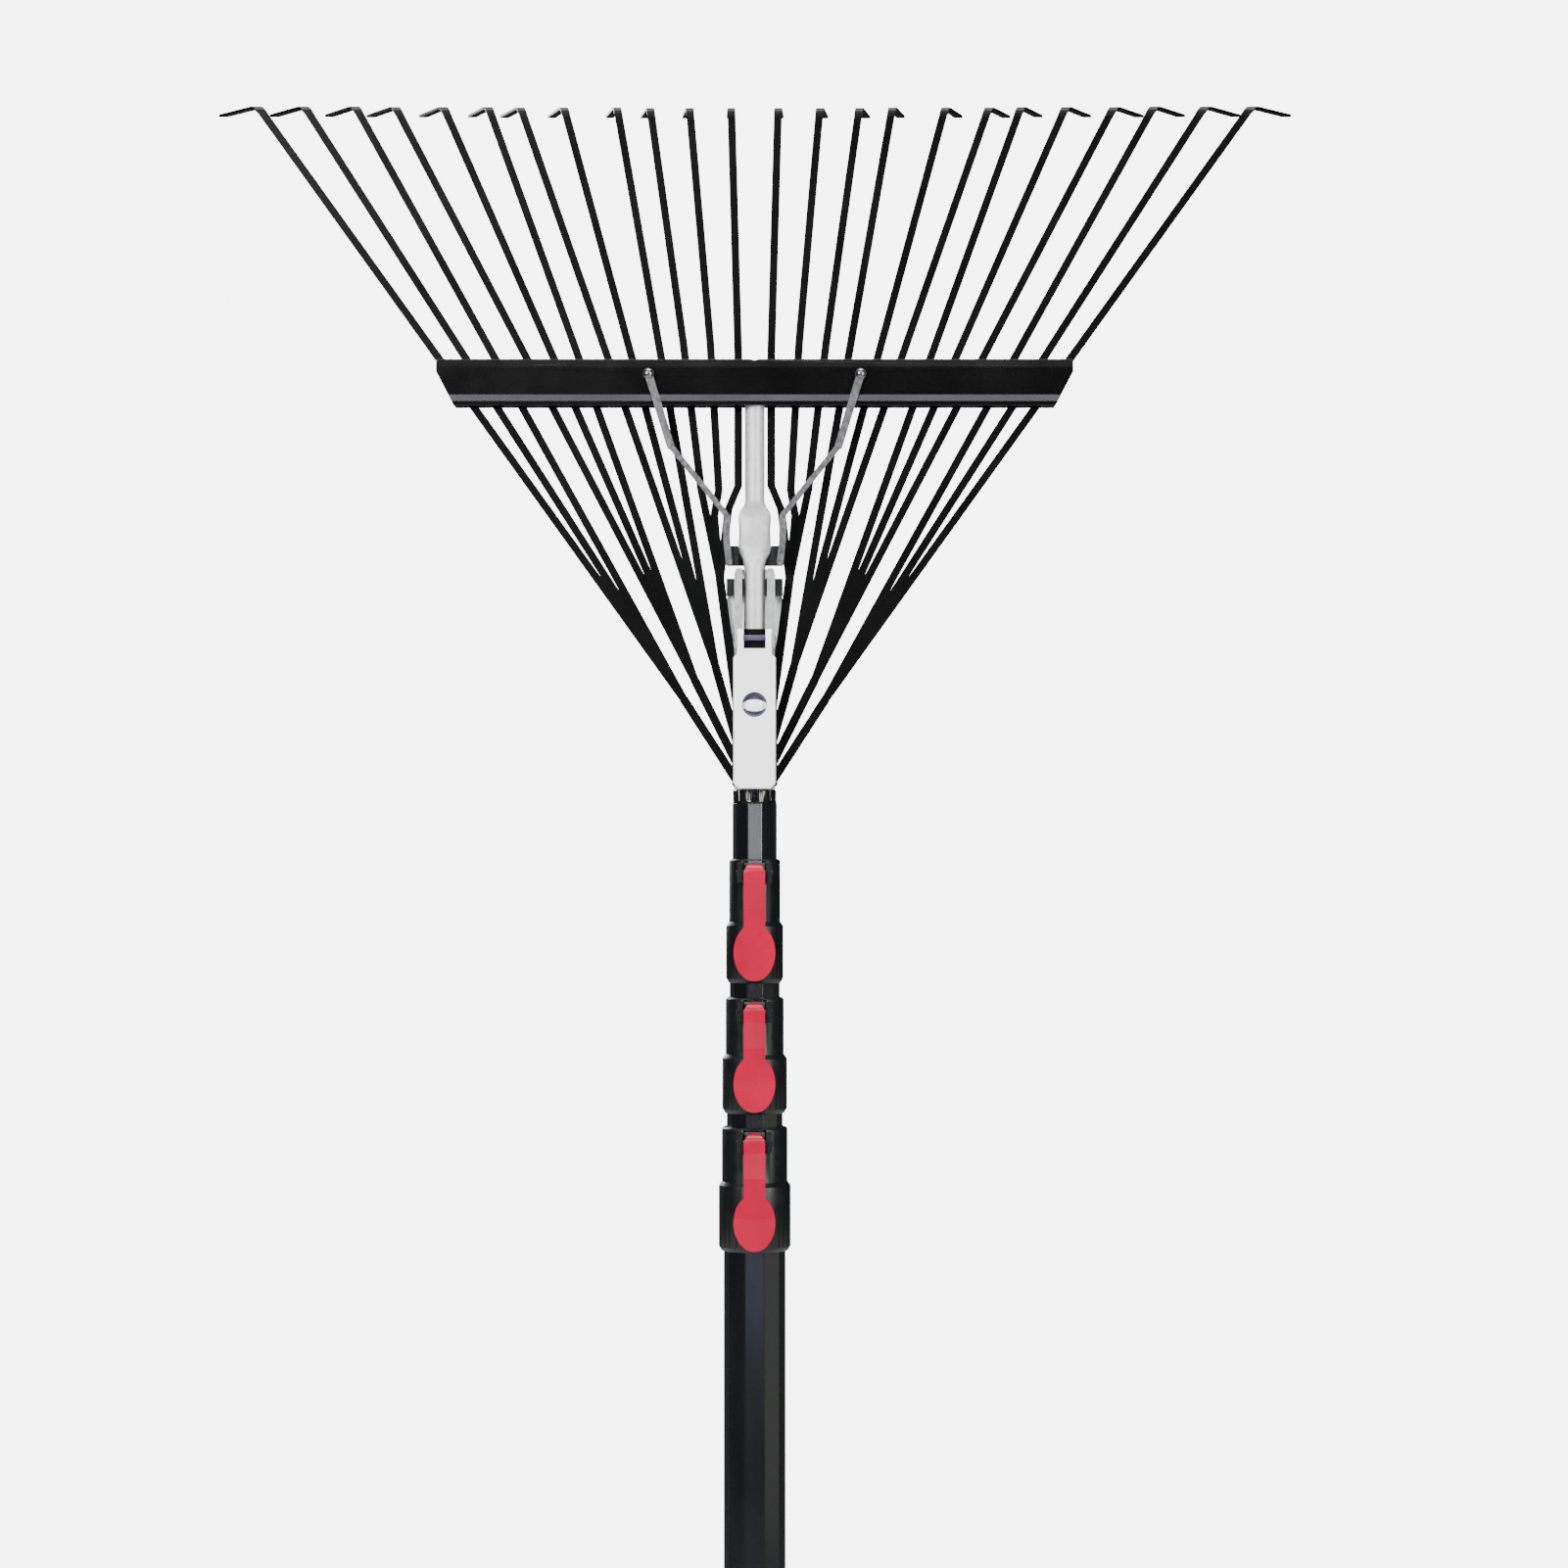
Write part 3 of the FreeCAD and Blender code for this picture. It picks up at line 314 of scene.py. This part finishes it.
def dome_painted_shade_ring():
    """A dark ring of painted shade, sunk in the gap above and below the domed rivet in the head
    lever.
    """
    steps, ring_width, rim_play, sunk, open_side = 48, 1.3 * MM, 0.1 * MM, 2.9 * MM, 0.4
    low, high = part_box("lever_dome")
    middle_x, middle_z = (low.x + high.x) / 2, (low.z + high.z) / 2
    outer = (high.x - low.x) / 2 - rim_play
    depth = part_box("clamp_lever")[0].y + sunk
    verts = []
    for radius in (outer - ring_width, outer):
        for step in range(steps):
            angle = math.tau * step / steps
            verts.append((middle_x + radius * math.cos(angle), depth,
                          middle_z + radius * math.sin(angle)))
    faces = [(k, (k + 1) % steps, steps + (k + 1) % steps, steps + k) for k in range(steps)
             if abs(math.sin(math.tau * (k + 0.5) / steps)) > open_side]
    # The ring's dark colour is painted shade, standing in for the shadow in the gap.
    shade = satin_black("recess", (0.05, 0.045, 0.09), 0.5, 0.65)
    mesh_piece("dome_painted_shade_ring", verts, faces, shade, "head_lever")


soften_edges()
dome_painted_shade_ring()


# Floor, light and camera

def floor():
    mesh = bpy.data.meshes.new("floor")
    low = min(cad_box[0].z, 0.0) - FLOOR_GAP
    around = [math.tau * k / FLOOR_STEPS for k in range(FLOOR_STEPS)]
    mesh.from_pydata([(FLOOR_RADIUS * math.cos(a), FLOOR_RADIUS * math.sin(a), low) for a in around],
                     [], [tuple(range(FLOOR_STEPS))])
    item = bpy.data.objects.new("floor", mesh)
    bpy.context.collection.objects.link(item)
    mesh.materials.append(Shader("floor_pale", (0.8, 0.8, 0.8), 0.8).material)


def area_light(name, place, target, width, height, power, tint=(1, 1, 1)):
    data = bpy.data.lights.new(name, "AREA")
    data.shape = "RECTANGLE"
    data.size, data.size_y = width, height
    data.energy = power
    data.color = tint
    item = bpy.data.objects.new(name, data)
    item.location = place
    item.rotation_euler = (Vector(target) - Vector(place)).to_track_quat("-Z", "Y").to_euler()
    bpy.context.collection.objects.link(item)


def lights():
    middle = (0, 0, CAMERA_HEIGHT)
    area_light("key", (-1.5, -2.4, 1.9), middle, 1.0, 1.0, 150)
    area_light("fill", (1.9, -2.2, 1.3), middle, 0.9, 1.2, 95, (1.0, 0.99, 0.96))
    area_light("top", (0, -0.1, 3.0), middle, 1.6, 1.0, 80)
    area_light("glint", (0, -2.2, 2.8), (0, 0, 1.07), 2.6, 0.22, 34, (0.86, 0.88, 1.0))
    area_light("low_strip", (0, -2.9, 0.31), (0, 0, 0.31), 0.16, 0.25, 0.3, (0.62, 0.72, 1.0))
    area_light("neck_strip", (-0.02, -2.9, 0.80), (0, 0, 0.80), 0.10, 0.16, 0.8, (0.94, 0.95, 1.0))
    area_light("side_strip", (2.4, -0.8, 0.3), (0, 0, 0.3), 0.4, 0.6, 0.6, (1.0, 1.0, 0.9))
    area_light("rim", (-1.2, 2.6, 1.8), middle, 1.4, 1.4, 60)


def studio():
    """A white surround for the camera, kept dim in reflections so that black stays black."""
    world = bpy.data.worlds.new("studio")
    world.use_nodes = True
    tree = world.node_tree
    surround = tree.nodes["Background"]
    surround.inputs["Color"].default_value = (1, 1, 1, 1)
    rays = tree.nodes.new("ShaderNodeLightPath")
    level = tree.nodes.new("ShaderNodeMapRange")
    level.inputs["To Min"].default_value = REFLECTED_SURROUND
    level.inputs["To Max"].default_value = SEEN_SURROUND
    tree.links.new(rays.outputs["Is Camera Ray"], level.inputs["Value"])
    tree.links.new(level.outputs["Result"], surround.inputs["Strength"])
    bpy.context.scene.world = world


def camera():
    data = bpy.data.cameras.new("camera")
    data.sensor_width = SENSOR_WIDTH
    data.lens = data.sensor_width * CAMERA_DISTANCE / FRAME_WIDTH
    item = bpy.data.objects.new("camera", data)
    item.location = (CAMERA_RIGHT, -CAMERA_DISTANCE, CAMERA_HEIGHT)
    item.rotation_euler = (math.radians(90), 0, 0)
    bpy.context.collection.objects.link(item)
    bpy.context.scene.camera = item


floor()
lights()
studio()
camera()
